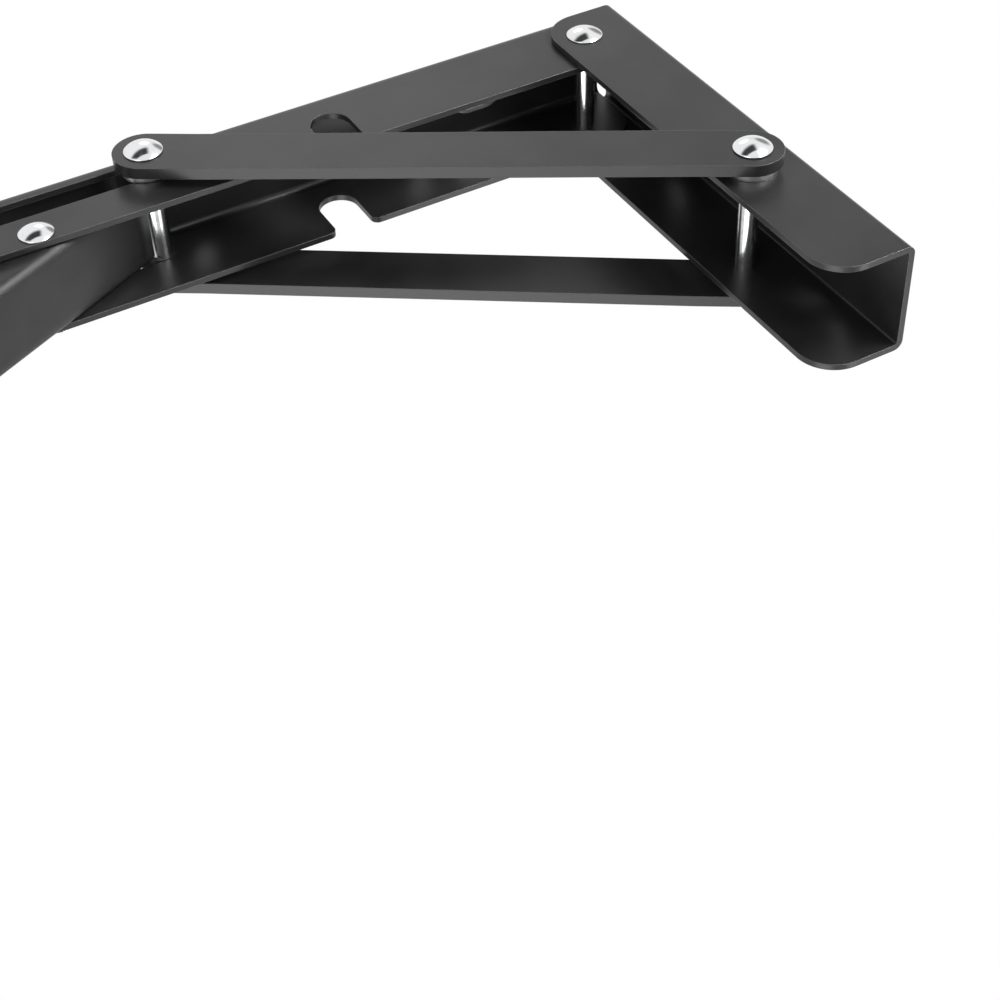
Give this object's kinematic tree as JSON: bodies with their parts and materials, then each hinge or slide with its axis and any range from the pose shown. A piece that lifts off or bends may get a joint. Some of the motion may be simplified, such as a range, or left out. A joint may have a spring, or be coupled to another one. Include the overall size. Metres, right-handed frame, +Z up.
{
  "type": "folding shelf bracket",
  "caption": "Folding wall bracket for a shelf: a wall channel, a shelf channel that folds down beside it, a pair of sliding brace bars and a release lever.",
  "frame": {"origin": "on the wall plane, midway between the two wall screw holes", "axes": "+X out from the wall along the open shelf arm, +Z up, +Y along the pins, with the bracket the same on both sides of Y = 0"},
  "size_m": [0.2538, 0.0462, 0.1339],
  "materials": {
    "black_paint": "satin powder coat",
    "chrome": "bright plated",
    "steel": "plain zinc plated",
    "black_nylon": "moulded nylon"
  },
  "bodies": {
    "wall_side": {"wall_arm": "black_paint", "corner_rivet": "chrome", "corner_tube": "steel", "wall_rivet": "chrome", "wall_tube": "steel", "wall_washer_left": "chrome", "wall_washer_right": "chrome"},
    "shelf_side": {"shelf_arm": "black_paint", "lever_rivet": "chrome", "lever_tube": "steel"},
    "links": {"link_left": "black_paint", "link_right": "black_paint", "slide_head_left": "chrome", "slide_head_right": "chrome"},
    "slider": {"slide_pin": "steel", "slide_tube": "steel", "slide_bush_left": "black_nylon", "slide_bush_right": "black_nylon", "slide_washer_left": "chrome", "slide_washer_right": "chrome"},
    "lever": {"release_lever": "black_paint"}
  },
  "joints": [
    {"name": "shelf_fold", "type": "hinge", "parent": "wall_side", "child": "shelf_side", "pos_m": [0.015, 0, 0.063], "axis": [0, 1, 0], "range_deg": [0, 90]},
    {"name": "link_swing", "type": "hinge", "parent": "wall_side", "child": "links", "pos_m": [0.014, 0, -0.0125], "axis": [0, 1, 0], "range_deg": [0, 120.68]},
    {"name": "pin_slide", "type": "slide", "parent": "shelf_side", "child": "slider", "axis": [1, 0, 0], "range_m": [0, 0.1]},
    {"name": "lever_press", "type": "hinge", "parent": "shelf_side", "child": "lever", "pos_m": [0.1706, 0, 0.0564], "axis": [0, 1, 0], "range_deg": [-27, 0], "stiffness_Nm_per_rad": 0.2, "springref_deg": 28.65}
  ],
  "couplings": [
    {"joint": "link_swing", "follows": "shelf_fold", "ratio": 1.3407},
    {"joint": "pin_slide", "follows": "shelf_fold", "m_per_rad": 0.063661}
  ]
}
